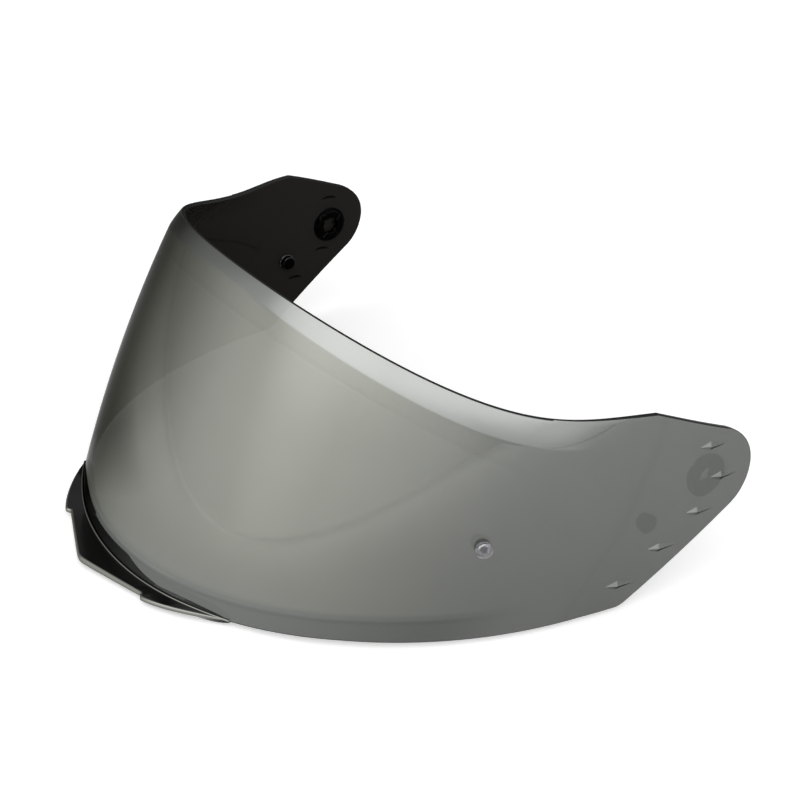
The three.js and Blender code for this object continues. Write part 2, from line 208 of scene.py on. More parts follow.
def line_shares(column):
    """Heights of the moulded lines, as shares of the column from foot to brow."""
    low = point_along(foot, column * ear_line_foot_share)
    height = (point_along(brow, column) - low).length
    foot_rim = mix(7 * mm, 12 * mm, column ** 2) / height
    top_rim = mix(14 * mm, 36 * mm, column ** 5) / height
    crease = 1 - mix(5.3 * mm, 11.5 * mm, column) / height
    step = 1.2 * mm / height
    view = [mix(foot_rim + step, 1 - top_rim - step, row / 5) for row in range(6)]
    band = [mix(crease, 1, row / 3) for row in range(4)]
    return [0, foot_rim, *view, 1 - top_rim, *band]


def share_at(shares, line):
    low = min(int(line), len(shares) - 2)
    return mix(shares[low], shares[low + 1], line - low)


def lens_place(column, line):
    low = point_along(foot, column * ear_line_foot_share)
    return low.lerp(point_along(brow, column), share_at(line_shares(column), line))


def rear_place(line):
    if line <= 3:
        return point_along(rear_corner, line / 3)
    if line <= 5:
        return point_along(rear_straight, (line - 3) / 2)
    return point_along(rear_tip, (line - 5) / (last_line - 5))


def ear_place(column, line):
    """Place on the ear, blended from its four edges."""
    line_share = share_at(line_shares(1), line)
    share = mix(line_share, line / last_line, column)
    line_foot = point_along(foot, ear_line_foot_share)
    across = line_foot.lerp(temple_corner, line_share).lerp(rear_place(line), column)
    low = point_along(foot, mix(ear_line_foot_share, 1, column))
    high = temple_corner.lerp(ear_top, column)
    corners = line_foot.lerp(ear_foot, column).lerp(high, share)
    return across + low.lerp(high, share) - corners


def foot_flare(lens_share):
    """How far the foot stands out in front, where it joins the chin ledge."""
    return flare_depth * (1 - eased((lens_share - 0.13) / 0.17))


def sheet_point(index, line):
    """One corner of the outer face; the band under the upper edge turns in from its crease."""
    column = abs(index)
    ear_share = max(column - lens_columns, 0) / ear_columns
    lens_share = min(column / lens_columns, 1)
    place = ear_place(ear_share, line) if ear_share else lens_place(lens_share, line)
    band_share = max(line - crease_line, 0) / (last_line - crease_line)
    inset = mix(band_depth_front, band_depth_side, lens_share) * (1 - eased((lens_share - 0.8) / 0.2))
    turned_in = mix(band_share ** 2, band_share, mix(0.85, 0.3, lens_share))
    flare = foot_flare(lens_share) * max(1 - line / 1.3, 0)
    return face_point(math.copysign(place.x, index), place.y, inset * turned_in - flare)


def pick(*pieces):
    """Selects only these pieces, the first as the active one; with none, nothing is selected."""
    bpy.ops.object.select_all(action="DESELECT")
    for piece in pieces:
        piece.select_set(True)
    if pieces:
        bpy.context.view_layer.objects.active = pieces[0]


def flat_grid(name, columns, rows):
    pick()
    bpy.ops.mesh.primitive_grid_add(x_subdivisions=columns, y_subdivisions=rows, size=1)
    piece = bpy.context.object
    piece.name = name
    return piece


def lay(piece, columns, rows, place):
    """Carries each corner of a flat grid to its place; place takes the column and row it stands in."""
    for corner in piece.data.vertices:
        column = round((corner.co.x + 0.5) * columns)
        row = round((corner.co.y + 0.5) * rows)
        corner.co = place(column, row)


def apply_modifier(piece, kind, **settings):
    pick(piece)
    modifier = piece.modifiers.new(kind.lower(), kind)
    for name, value in settings.items():
        setattr(modifier, name, value)
    bpy.ops.object.modifier_apply(modifier=modifier.name)


def edit(piece, mode, chosen):
    """Opens a piece in edit mode with only the chosen vertices, edges or faces selected."""
    pick(piece)
    bpy.ops.object.mode_set(mode="EDIT")
    bpy.ops.mesh.select_mode(type=mode)
    bpy.ops.mesh.select_all(action="DESELECT")
    bpy.ops.object.mode_set(mode="OBJECT")
    parts = {"VERT": piece.data.vertices, "EDGE": piece.data.edges, "FACE": piece.data.polygons}[mode]
    for part in parts:
        part.select = chosen(part)
    bpy.ops.object.mode_set(mode="EDIT")


def done():
    bpy.ops.object.mode_set(mode="OBJECT")


sheet_rows = len(fine_rows) - 1
sheet_columns = 2 * half_columns


def build_sheet(name):
    """The outer face alone, grown by the round of its edges."""
    piece = flat_grid(name, sheet_columns, sheet_rows)
    laid = {}
    for column in range(sheet_columns + 1):
        for row in range(sheet_rows + 1):
            laid[column, row] = sheet_point(column - half_columns, fine_rows[row])

    def rounded_place(column, row):
        inner = (min(max(column, 1), sheet_columns - 1), min(max(row, 1), sheet_rows - 1))
        point = laid[column, row]
        outward = point - laid[inner]
        return point + outward.normalized() * edge_round if outward.length else point

    lay(piece, sheet_columns, sheet_rows, rounded_place)
    return piece


def principled_material(name, colour, roughness, **sockets):
    material = bpy.data.materials.new(name)
    material.use_nodes = True
    shader = material.node_tree.nodes["Principled BSDF"]
    shader.inputs["Base Color"].default_value = (*colour, 1)
    shader.inputs["Roughness"].default_value = roughness
    for socket, value in sockets.items():
        shader.inputs[socket.replace("_", " ")].default_value = value
    return material, shader


def node(material, kind, **settings):
    made = material.node_tree.nodes.new(kind)
    for name, value in settings.items():
        setattr(made, name, value)
    return made


def link(material, source, target):
    material.node_tree.links.new(source, target)


def object_point(material):
    return node(material, "ShaderNodeTexCoord").outputs["Object"]


def noise(material, scale, detail=3.0):
    """Fine unevenness in the object's own coordinates."""
    texture = node(material, "ShaderNodeTexNoise")
    texture.inputs["Scale"].default_value = scale
    texture.inputs["Detail"].default_value = detail
    link(material, object_point(material), texture.inputs["Vector"])
    return texture.outputs["Fac"]


def spread(material, source, low, high, to_low, to_high):
    """A smooth change from one value to another as the source goes from low to high."""
    made = node(material, "ShaderNodeMapRange", interpolation_type="SMOOTHSTEP")
    limits = {"From Min": low, "From Max": high, "To Min": to_low, "To Max": to_high}
    for socket, value in limits.items():
        made.inputs[socket].default_value = value
    link(material, source, made.inputs["Value"])
    return made.outputs["Result"]


def uneven_gloss(material, shader, scale, smoothest, roughest):
    """Roughness that varies a little over the surface."""
    gloss = spread(material, noise(material, scale), 0.3, 0.7, smoothest, roughest)
    link(material, gloss, shader.inputs["Roughness"])


def sum_of(material, operation, *sources):
    """One Math node over sockets or numbers."""
    made = node(material, "ShaderNodeMath", operation=operation)
    for socket, source in zip(made.inputs, sources):
        if isinstance(source, (int, float)):
            socket.default_value = source
        else:
            link(material, source, socket)
    return made.outputs["Value"]


def ramp(material, source, stops):
    """Levels along a source, joined by straight lines."""
    made = node(material, "ShaderNodeValToRGB")
    while len(made.color_ramp.elements) < len(stops):
        made.color_ramp.elements.new(1)
    for element, (position, level) in zip(made.color_ramp.elements, stops):
        element.position = position
        element.color = (level, level, level, 1)
    link(material, source, made.inputs["Fac"])
    return made.outputs["Color"]


def height_of(line):
    """Height on the sheet's own map of a place between two moulded lines."""
    low = math.floor(line)
    first, second = (fine_rows.index(min(whole, last_line)) / sheet_rows for whole in (low, low + 1))
    return mix(first, second, line - low)


mirror_coat, mirror_shader = principled_material(
    "mirror_coat", (0.2, 0.2, 0.18), 0.06, Metallic=1.0, Alpha=0.97,
)
mirror_shader.inputs["Specular Tint"].default_value = (0.32, 0.32, 0.31, 1)
uneven_gloss(mirror_coat, mirror_shader, 140, 0.05, 0.075)
sheet_uv = node(mirror_coat, "ShaderNodeUVMap")
sheet_place = node(mirror_coat, "ShaderNodeSeparateXYZ")
link(mirror_coat, sheet_uv.outputs["UV"], sheet_place.inputs["Vector"])
upwards = sheet_place.outputs["Y"]
aside = sum_of(mirror_coat, "ABSOLUTE", sum_of(mirror_coat, "SUBTRACT", sheet_place.outputs["X"], 0.5))

# Painted shade along the moulded lines: dark lines at the foot's rim, the band's crease and the line before
# the ear, where the steps of the sheet mirror less light; the foot's rim is darker as well
foot_levels = ramp(mirror_coat, upwards, (
    (0, 0.72), (height_of(0.7), 0.72), (height_of(0.85), 0.64),
    (height_of(1), 0.84), (height_of(1.9), 0.84), (height_of(2.1), 1),
))
foot_shade = sum_of(
    mirror_coat,
    "MULTIPLY",
    sum_of(mirror_coat, "SUBTRACT", 1, foot_levels),
    spread(mirror_coat, aside, 0.27, 0.345, 1, 0),
)
brow_shade = sum_of(
    mirror_coat,
    "MULTIPLY",
    ramp(mirror_coat, upwards, (
        (height_of(7.85), 0), (height_of(8.05), 0.06), (height_of(8.3), 0.025),
        (height_of(8.75), 0.025), (height_of(8.88), 0.06), (height_of(8.98), 0),
    )),
    spread(mirror_coat, aside, 0.24, 0.33, 1, 0),
)
ear_shade = ramp(mirror_coat, aside, ((0.376, 0), (0.381, 0.05), (0.384, 0.05), (0.389, 0)))
line_shade = sum_of(mirror_coat, "MAXIMUM", brow_shade, ear_shade)
line_shade = sum_of(mirror_coat, "ADD", foot_shade, line_shade)

# Towards the ears the silver darkens: partly a coating that thins out there, partly painted shade of the
# dimmer room that they mirror. The band keeps its brightness there as a painted highlight, the lens is
# brighter towards the brow as a painted reflection, and the coating is faintly cloudy
band_highlight = sum_of(
    mirror_coat,
    "MULTIPLY",
    ramp(mirror_coat, upwards, ((height_of(8.9), 0), (height_of(9.1), 1))),
    spread(mirror_coat, aside, 0.25, 0.44, 0.93, 0),
)
side_fade = sum_of(mirror_coat, "MAXIMUM", spread(mirror_coat, aside, 0.115, 0.315, 1.0, 0.61), band_highlight)
brow_gain = sum_of(
    mirror_coat,
    "MULTIPLY",
    ramp(mirror_coat, upwards, ((height_of(recess_lines[0]), 0), (height_of(8), 1))),
    spread(mirror_coat, aside, 0.11, 0.36, 0.19, 0.03),
)
cloudiness = spread(mirror_coat, noise(mirror_coat, 35), 0.3, 0.7, 0.985, 1.015)
coat_and_painted_light = sum_of(mirror_coat, "MULTIPLY", side_fade, sum_of(mirror_coat, "ADD", 1, brow_gain))
coat_and_painted_light = sum_of(mirror_coat, "MULTIPLY", coat_and_painted_light, cloudiness)
coat_and_painted_light = sum_of(mirror_coat, "MULTIPLY", coat_and_painted_light, sum_of(mirror_coat, "SUBTRACT", 1, line_shade))

# Its warm silver turns cooler towards the ears, on the band and on the foot's rim
cool = sum_of(
    mirror_coat,
    "MAXIMUM",
    spread(mirror_coat, aside, 0.165, 0.33, 0, 1),
    ramp(mirror_coat, upwards, (
        (height_of(1.5), 1), (height_of(2.5), 0), (height_of(8.8), 0), (height_of(9.2), 1),
    )),
)
silver = node(mirror_coat, "ShaderNodeMix", data_type="RGBA")
silver.inputs["A"].default_value = (0.2150, 0.2180, 0.1940, 1)
silver.inputs["B"].default_value = (0.2130, 0.2200, 0.2100, 1)
link(mirror_coat, cool, silver.inputs["Factor"])
shaded_silver = node(mirror_coat, "ShaderNodeMix", data_type="RGBA", blend_type="MULTIPLY")
shaded_silver.inputs["Factor"].default_value = 1
link(mirror_coat, silver.outputs["Result"], shaded_silver.inputs["A"])
link(mirror_coat, coat_and_painted_light, shaded_silver.inputs["B"])
link(mirror_coat, shaded_silver.outputs["Result"], mirror_shader.inputs["Base Color"])


def clear_from_behind(material, shader):
    """A skin that is seen from within the sheet lets the room through."""
    facing = node(material, "ShaderNodeNewGeometry").outputs["Backfacing"]
    link(material, sum_of(material, "SUBTRACT", 1, facing), shader.inputs["Alpha"])


smoke_tints = []
for name, colour, roughness, shine, scale, smoothest, roughest in (
    ("smoke_tint_inside", (0.0180, 0.0165, 0.0150), 0.12, 0.04, 60, 0.09, 0.14),
    ("smoke_tint_edge", (0.014, 0.014, 0.014), 0.16, 0.12, 250, 0.12, 0.22),
    # The hollows get a darker tint than the sheet: painted shade in them
    ("smoke_tint_hollow_painted_shade", (0.004, 0.0036, 0.0032), 0.3, 0.02, 250, 0.25, 0.35),
):
    smoke_tint, smoke_shader = principled_material(name, colour, roughness, Specular_IOR_Level=shine)
    uneven_gloss(smoke_tint, smoke_shader, scale, smoothest, roughest)
    clear_from_behind(smoke_tint, smoke_shader)
    smoke_tints.append(smoke_tint)
smoke_edge, hollow_painted_shade = smoke_tints[1:]

shield = build_sheet("shield_sheet")
for material in (mirror_coat, *smoke_tints):
    shield.data.materials.append(material)
inside_slot = 1
edge_slot = 2


def full_share(corner_index):
    """1 where the sheet keeps its full thickness, 0 inside the viewing recess."""
    column = corner_index % (sheet_columns + 1) - half_columns
    line = fine_rows[corner_index // (sheet_columns + 1)]
    up = min(max(line - recess_lines[0] + 1, 0), 1) * min(max(recess_lines[1] + 1 - line, 0), 1)
    in_front = min(max(lens_columns - abs(column), 0), 1)
    return 1 - up * in_front


full = shield.vertex_groups.new(name="full_sheet")
for corner in shield.data.vertices:
    full.add([corner.index], full_share(corner.index), "REPLACE")

recess_depth = 0.5 * mm
apply_modifier(
    shield,
    "SOLIDIFY",
    thickness=sheet_thickness,
    offset=-1,
    vertex_group="full_sheet",
    thickness_vertex_group=1 - recess_depth / sheet_thickness,
    material_offset=inside_slot,
    material_offset_rim=edge_slot,
    use_even_offset=False,
)
shield.vertex_groups.clear()


# The frame's origin lies on the ground under the visor's middle. The sheet takes its place from the joint
# of the left pin, which goes straight through it.
pin_run = cheek_run - 54.8 * mm
pin_rise = -96.6 * mm
pin_joint = Vector(frame["record"]["behaviour"]["joints"][0]["pos_m"])
pin_place = face_point(pin_run, pin_rise)
pin_outward = face_normal(pin_run, pin_rise)
shift = pin_joint - pin_place - pin_outward * ((pin_joint.x - pin_place.x) / pin_outward.x)
shield.data.transform(Matrix.Translation(shift))


def keys_of(piece, slot):
    """Edges of the faces that have one material."""
    faces = [face for face in piece.data.polygons if face.material_index == slot]
    return {key for face in faces for key in face.edge_keys}


def sharp_keys(piece):
    """Edges whose two faces meet at a right angle or so."""
    sides = {}
    for face in piece.data.polygons:
        for key in face.edge_keys:
            sides.setdefault(key, []).append(face.normal)
    pairs = {key: normals for key, normals in sides.items() if len(normals) == 2}
    return {key for key, (first, second) in pairs.items() if first.dot(second) < 0.6}


# The cut edge is rounded off outside and in, and widest outside along the front of the brow
brow_middle = (sheet_columns + 1) * sheet_rows + half_columns
brow_front_half = 66
brow_front = (brow_middle - brow_front_half, brow_middle + brow_front_half)
everywhere = (0, 2 * len(shield.data.vertices))
for skin_slot, radius, segments, (first_corner, last_corner) in (
    (0, 0.75 * mm, 6, brow_front),
    (0, 0.42 * mm, 5, everywhere),
    (inside_slot, 0.35 * mm, 3, everywhere),
):
    rim_keys = keys_of(shield, edge_slot) & keys_of(shield, skin_slot) & sharp_keys(shield)
    rim_keys = {key for key in rim_keys if first_corner <= min(key) and max(key) <= last_corner}
    edit(shield, "EDGE", lambda edge: edge.key in rim_keys)
    bpy.ops.mesh.bevel(
        offset=radius, segments=segments, affect="EDGES", clamp_overlap=False, material=edge_slot,
    )
    done()


# Ear diamonds: five raised faceted diamonds moulded on each ear, of the sheet's own plastic and coated with
# it. Each is a four-sided pyramid laid on the sheet, its ridges slightly rounded, and joined to the sheet,
# with a shallow hollow behind it in the inner face, whose darker tint is painted shade.
diamond_length = 14.2 * mm
diamond_width = 3.7 * mm
diamond_height = 0.9 * mm
diamond_root = 1.2 * mm
diamond_sink = 0.05 * mm
diamond_tilt = math.radians(34.1)
crest_share = 0.37
ridge_round = 0.12 * mm
ear_reach = 28 * mm
ear_drop = 75 * mm
diamond_shares = ((0.09, 0.102), (0.564, 0.189), (0.572, 0.392), (0.392, 0.633), (0.204, 0.885))


def ear_spot(reach_share, drop_share):
    """Middle of a diamond, by its shares of the ear's reach back and of its drop from the top."""
    return Vector((cheek_run + ear_reach * reach_share, ear_top.y - ear_drop * drop_share))


def add_diamond(hand, reach_share, drop_share):
    pick()
    bpy.ops.mesh.primitive_cone_add(vertices=4, radius1=1, radius2=0, depth=2, end_fill_type="TRIFAN")
    piece = bpy.context.object
    crest = ear_spot(reach_share, drop_share) + heading(diamond_tilt, diamond_length * (crest_share - 0.5))
    lengthwise = heading(diamond_tilt, diamond_length)
    crosswise = heading(diamond_tilt + math.pi / 2, diamond_width / 2)
    for corner in piece.data.vertices:
        along_share = -crest_share if corner.co.x < -0.5 else (1 - crest_share) * (corner.co.x > 0.5)
        spot = crest + lengthwise * along_share + crosswise * round(corner.co.y)
        on_axis = abs(corner.co.x) < 0.5 and abs(corner.co.y) < 0.5
        height = -diamond_sink
        if on_axis:
            height = diamond_height if corner.co.z > 0 else -diamond_root
        run = hand * spot.x
        corner.co = face_point(run, spot.y) + face_normal(run, spot.y) * height + shift
    apex = max(piece.data.vertices, key=lambda corner: corner.co.x * hand).index
    edit(piece, "EDGE", lambda edge: apex in edge.vertices[:])
    bpy.ops.mesh.bevel(offset=ridge_round, segments=2, affect="EDGES", clamp_overlap=True)
    done()
    edit(piece, "FACE", lambda face: True)
    bpy.ops.mesh.normals_make_consistent(inside=False)
    done()
    return piece


def join(pieces, name):
    pick(*pieces)
    bpy.ops.object.join()
    pieces[0].name = name
    return pieces[0]


def combine(piece, tool, operation):
    """Joins or cuts a piece with a tool, which is then thrown away."""
    apply_modifier(piece, "BOOLEAN", object=tool, operation=operation, solver="EXACT")
    bpy.data.objects.remove(tool)


def on_both_ears(add_one, name):
    """One tool made of ten: what stands at each diamond of both ears."""
    return join([add_one(hand, *shares) for hand in (1, -1) for shares in diamond_shares], name)


diamonds = on_both_ears(add_diamond, "diamonds")
diamonds.data.materials.append(mirror_coat)
# The diamonds take the coating's level at the ears, with its painted shade
for corner in diamonds.data.uv_layers.active.data:
    corner.uv = (0.95, 0.5)
combine(shield, diamonds, "UNION")

hollow_half_length = 4 * mm
hollow_half_width = 0.65 * mm
hollow_depth = 0.35 * mm
hollow_bow = 0.7 * mm
hollow_setback = 1 * mm


def add_hollow(hand, reach_share, drop_share):
    """A shallow hollow in the inner face behind a diamond, as a cutter."""
    pick()
    bpy.ops.mesh.primitive_uv_sphere_add(segments=24, ring_count=12, radius=1)
    piece = bpy.context.object
    for corner in piece.data.vertices:
        along, beside, deep = corner.co
        bow = hollow_bow * (1 - along ** 2)
        spot = ear_spot(reach_share, drop_share)
        spot += heading(diamond_tilt, hollow_half_length * along - hollow_setback)
        spot += heading(diamond_tilt + math.pi / 2, hollow_half_width * beside + bow)
        run = hand * spot.x
        depth = sheet_thickness - hollow_depth * deep
        corner.co = face_point(run, spot.y) - face_normal(run, spot.y) * depth + shift
    edit(piece, "FACE", lambda face: True)
    bpy.ops.mesh.normals_make_consistent(inside=False)
    done()
    return piece


hollows = on_both_ears(add_hollow, "hollows")
# The hollows' faces take the darker tint, which is painted shade
hollows.data.materials.append(hollow_painted_shade)
combine(shield, hollows, "DIFFERENCE")


# A hole goes through the sheet for each eccentric pin
pin_hole_radius = 1.8 * mm
drill_reach = 5 * mm


def turned_frame(origin, axis):
    """Frame whose Z lies along an axis and whose X is turned no more than needed."""
    turn = Vector((0, 1, 0)).rotation_difference(axis)
    columns = Matrix((turn @ Vector((1, 0, 0)), turn @ Vector((0, 0, -1)), axis)).transposed()
    return Matrix.Translation(origin) @ columns.to_4x4()


def pin_frame(hand):
    origin = face_point(hand * pin_run, pin_rise) + shift
    return turned_frame(origin, face_normal(hand * pin_run, pin_rise))


def cylinder(radius, low, high, sides=64):
    """Plain cylinder along Z between two heights, a start for turned pieces and drills."""
    pick()
    bpy.ops.mesh.primitive_cylinder_add(
        vertices=sides, radius=radius, depth=high - low, location=(0, 0, (low + high) / 2),
    )
    bpy.ops.object.transform_apply(location=True)
    return bpy.context.object


drills = []
for hand in (1, -1):
    drill = cylinder(pin_hole_radius, -drill_reach, drill_reach)
    drill.data.transform(pin_frame(hand))
    drills.append(drill)
drill = join(drills, "pin_drills")
drill.data.materials.append(smoke_edge)
combine(shield, drill, "DIFFERENCE")


def smooth(piece, angle):
    pick(piece)
    bpy.ops.object.shade_smooth_by_angle(angle=math.radians(angle))


smooth(shield, 14)
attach(shield, "visor")
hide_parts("shield")


# Chin ledge: black gloss shelf bonded along the middle of the sheet's lower edge, with a shallow pointed
# nose in front and a notched wing on each side. Its section is drawn at places along the edge and closed.
# Its rounded outer edge and the bead along the sheet carry the mirror coating.
ledge_half_arc = 77 * mm
nose_reach = 12.2 * mm
nose_round = 1.5 * mm
nose_rise = 3 * mm
nose_thickness = 2.8 * mm
notch_arc = 37 * mm
notch_step = 3.4 * mm
notch_reach = 5.9 * mm
wing_reach = 8.1 * mm
wing_fall = 1.4
wing_rise = 1.5 * mm
wing_thickness = 1.9 * mm
ledge_tip_share = 0.2
ledge_back = 5.2 * mm
ledge_back_rise = 1.8 * mm
ledge_foot_rise = 0.5 * mm
ledge_foot_front = 0.8 * mm
clearance = 0.3 * mm
edge_depth = 0.9 * mm
edge_steps = 8


def foot_point(arc):
    spot = point_along(foot, abs(arc) / foot[1][-1])
    return face_point(math.copysign(spot.x, arc), spot.y) + shift


foot_centre = foot_point(0)
notch = foot_point(notch_arc)
nose_slope = (notch.y - notch_reach - foot_centre.y + nose_reach) / notch.x
wing_start = notch_arc + notch_step
half_arcs = [notch_arc * step / 24 for step in range(25)]
half_arcs += [mix(notch_arc, wing_start, step / 8) for step in range(1, 8)]
half_arcs += [mix(wing_start, ledge_half_arc, step / 32) for step in range(33)]
arcs = [-arc for arc in reversed(half_arcs[1:])] + half_arcs


def tip_share(arc):
    """The share of its full section that the ledge has at a place; it thins out towards its tips."""
    wing_share = max(abs(arc) - wing_start, 0) / (ledge_half_arc - wing_start)
    return 1 - (1 - ledge_tip_share) * wing_share ** 4


def ledge_section(arc):
    """Corners of the ledge's section at one place, its rounded outer edge first."""
    low = foot_point(arc)
    length = abs(arc)
    wing_share = max(length - wing_start, 0) / (ledge_half_arc - wing_start)
    sideways = math.hypot(low.x, nose_round) - nose_round
    straight = foot_centre.y - nose_reach + nose_slope * sideways
    wing = low.y - wing_reach * (1 - wing_share ** wing_fall)
    outer = mix(straight, wing, eased((length - notch_arc) / notch_step))
    wingward = min(length / notch_arc, 1)
    rise = mix(nose_rise, wing_rise, wingward)
    thickness = mix(nose_thickness, wing_thickness, wingward)
    tip = tip_share(arc)
    level = mix(low.z - clearance, 0, tip)
    back = low.y + ledge_back * tip
    section = []
    for step in range(edge_steps + 1):
        angle = math.pi * (step / edge_steps - 0.5)
        depth = edge_depth * tip * (1 - math.cos(angle))
        section.append((outer + depth, low.z + (rise + thickness * (math.sin(angle) - 1) / 2) * tip))
    section += [
        (low.y, low.z + ledge_foot_rise * tip),
        (back, low.z + ledge_back_rise * tip),
        (back, level),
        (low.y - ledge_foot_front * tip, level),
    ]
    return [Vector((low.x, y, z)) for y, z in section]


def close_up(piece):
    """Welds the seam of a wrapped grid, closes its two ends and turns its faces outwards."""
    edit(piece, "VERT", lambda corner: True)
    bpy.ops.mesh.remove_doubles(threshold=0.002 * mm)
    bpy.ops.mesh.select_all(action="DESELECT")
    bpy.ops.mesh.select_non_manifold()
    bpy.ops.mesh.fill_holes(sides=0)
    bpy.ops.mesh.select_all(action="SELECT")
    bpy.ops.mesh.normals_make_consistent(inside=False)
    done()


sections = [ledge_section(arc) for arc in arcs]
corner_count = len(sections[0])
ledge = flat_grid("chin_ledge_black", len(arcs) - 1, corner_count)
lay(ledge, len(arcs) - 1, corner_count, lambda column, row: sections[column][row % corner_count])
for face in ledge.data.polygons:
    in_row = face.index // (len(arcs) - 1)
    face.material_index = 1 if in_row < edge_steps else 0
close_up(ledge)
smooth(ledge, 25)

bead_sides = 12
bead_radius = 0.42 * mm
bead_forward = 0.25 * mm
bead_rise = 0.62 * mm
bead_arcs = [mix(-ledge_half_arc, ledge_half_arc, step / 120) for step in range(121)]


def bead_point(arc, side):
    """Point on the thin round bead along the joint of ledge and sheet."""
    share = abs(arc) / foot[1][-1]
    spot = point_along(foot, share)
    flare = foot_flare(share / ear_line_foot_share)
    low = face_point(math.copysign(spot.x, arc), spot.y, -flare) + shift
    angle = 2 * math.pi * side / bead_sides
    place = Vector((0, -math.cos(angle), math.sin(angle))) * bead_radius
    return low + place + Vector((0, -bead_forward, bead_rise * tip_share(arc)))


bead = flat_grid("joint_bead", len(bead_arcs) - 1, bead_sides)
lay(bead, len(bead_arcs) - 1, bead_sides, lambda column, row: bead_point(bead_arcs[column], row))
close_up(bead)
for face in bead.data.polygons:
    face.material_index = 1
smooth(bead, 40)

black_gloss, black_shader = principled_material(
    "black_gloss_plastic", (0.004, 0.004, 0.004), 0.08, Specular_IOR_Level=0.33,
)
uneven_gloss(black_gloss, black_shader, 90, 0.07, 0.12)
coated_edge, coated_shader = principled_material("coated_edge", (0.215, 0.218, 0.2), 0.1, Metallic=1.0)
coated_shader.inputs["Specular Tint"].default_value = (0.4, 0.4, 0.39, 1)
uneven_gloss(coated_edge, coated_shader, 120, 0.08, 0.13)
for piece in (ledge, bead):
    piece.data.materials.append(black_gloss)
    piece.data.materials.append(coated_edge)
ledge = join([ledge, bead], "chin_ledge_black")
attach(ledge, "visor")
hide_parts("chin_ledge")


# Pivot rings: a flanged ring of black plastic inside each ear, which takes the helmet's pivot boss. Its inner
# end is rounded off and has four notches. It is bonded to the ear's inner face.
hub_flange = 8.2 * mm
hub_outer = 6.8 * mm
hub_bore = 3.8 * mm
hub_height = 2.4 * mm
hub_flange_thickness = 0.8 * mm
hub_root = 1.05 * mm
hub_notch = 1.6 * mm
hub_round = 0.3 * mm


def lowest_and_highest(piece):
    heights = [corner.co.z for corner in piece.data.vertices]
    return min(heights), max(heights)


def step_up(piece, inset, rise):
    """Insets the top face and raises what is left of it."""
    top = lowest_and_highest(piece)[1]
    edit(piece, "FACE", lambda face: face.normal.z > 0.9 and face.center.z > top - 0.01 * mm)
    bpy.ops.mesh.inset(thickness=inset)
    bpy.ops.mesh.extrude_region_move(TRANSFORM_OT_translate={"value": (0, 0, rise)})
    done()


def inward_frame(node_name, height):
    """Frame of a piece inside the left ear: Z points inwards, the foot lies on the ear."""
    low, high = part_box(node_name)
    middle = (low + high) / 2
    return turned_frame(Vector((low.x + height, middle.y, middle.z)), Vector((-1, 0, 0)))


def mirrored_copy(piece, name):
    """The same piece for the other side, with its own mesh."""
    copy = piece.copy()
    copy.data = piece.data.copy()
    copy.name = name
    bpy.context.collection.objects.link(copy)
    copy.data.transform(Matrix.Scale(-1, 4, (1, 0, 0)))
    copy.data.flip_normals()
    return copy


hub = cylinder(hub_flange, -hub_root, hub_flange_thickness)
step_up(hub, hub_flange - hub_outer, hub_height - hub_flange_thickness)
combine(hub, cylinder(hub_bore, -drill_reach, drill_reach), "DIFFERENCE")
for quarter in range(4):
    pick()
    bpy.ops.mesh.primitive_cube_add(size=1)
    notch_tool = bpy.context.object
    notch_tool.data.transform(Matrix.Diagonal((hub_outer, hub_notch, hub_notch, 1)))
    notch_tool.data.transform(Matrix.Translation((hub_bore, 0, hub_height)))
    notch_tool.data.transform(Matrix.Rotation((quarter + 0.5) * math.pi / 2, 4, "Z"))
    combine(hub, notch_tool, "DIFFERENCE")
black_moulded, moulded_shader = principled_material(
    "black_moulded_plastic", (0.001, 0.001, 0.0012), 0.12, Specular_IOR_Level=0.012,
)
uneven_gloss(black_moulded, moulded_shader, 120, 0.10, 0.16)
# The rounds get a slightly lighter black, a painted highlight, and a much glossier one, so that they catch
# the lamps as glints
glinting_corner, glinting_corner_shader = principled_material(
    "glinting_corner", (0.004, 0.004, 0.005), 0.06, Specular_IOR_Level=0.4,
)
uneven_gloss(glinting_corner, glinting_corner_shader, 120, 0.05, 0.1)


def round_corners(piece, radius, segments, *materials):
    """Rounds the sharp corners; with a second material, the rounds get it."""
    piece.data.materials.clear()
    for material in materials:
        piece.data.materials.append(material)
    apply_modifier(
        piece,
        "BEVEL",
        width=radius,
        segments=segments,
        limit_method="ANGLE",
        angle_limit=math.radians(40),
        material=len(materials) - 1,
    )
    smooth(piece, 30)


round_corners(hub, hub_round, 3, black_moulded, glinting_corner)
hub.data.transform(inward_frame("pivot_hub_left", hub_height))
hub.name = "pivot_ring_left"
for side, piece in (("left", hub), ("right", mirrored_copy(hub, "pivot_ring_right"))):
    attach(piece, "visor")
    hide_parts("pivot_hub_" + side)


# Guide posts: a short post of black plastic on a round foot inside each ear, which runs in a curved track of
# the helmet's side plate. It is bonded to the ear's inner face.
post_height = 3 * mm
post_foot_radius = 3.7 * mm
post_foot_thickness = 0.7 * mm
post_foot_edge = 0.6 * mm
post_root = 0.8 * mm
post_round = 0.4 * mm
post = cylinder(post_foot_radius, -post_root, post_foot_thickness, 48)
step_up(post, post_foot_edge, post_height - post_foot_thickness)
round_corners(post, post_round, 3, black_moulded, glinting_corner)
post.data.transform(inward_frame("guide_post_left", post_height))
post.name = "guide_stud_left"
for side, piece in (("left", post), ("right", mirrored_copy(post, "guide_stud_right"))):
    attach(piece, "visor")
    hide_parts("guide_post_" + side)


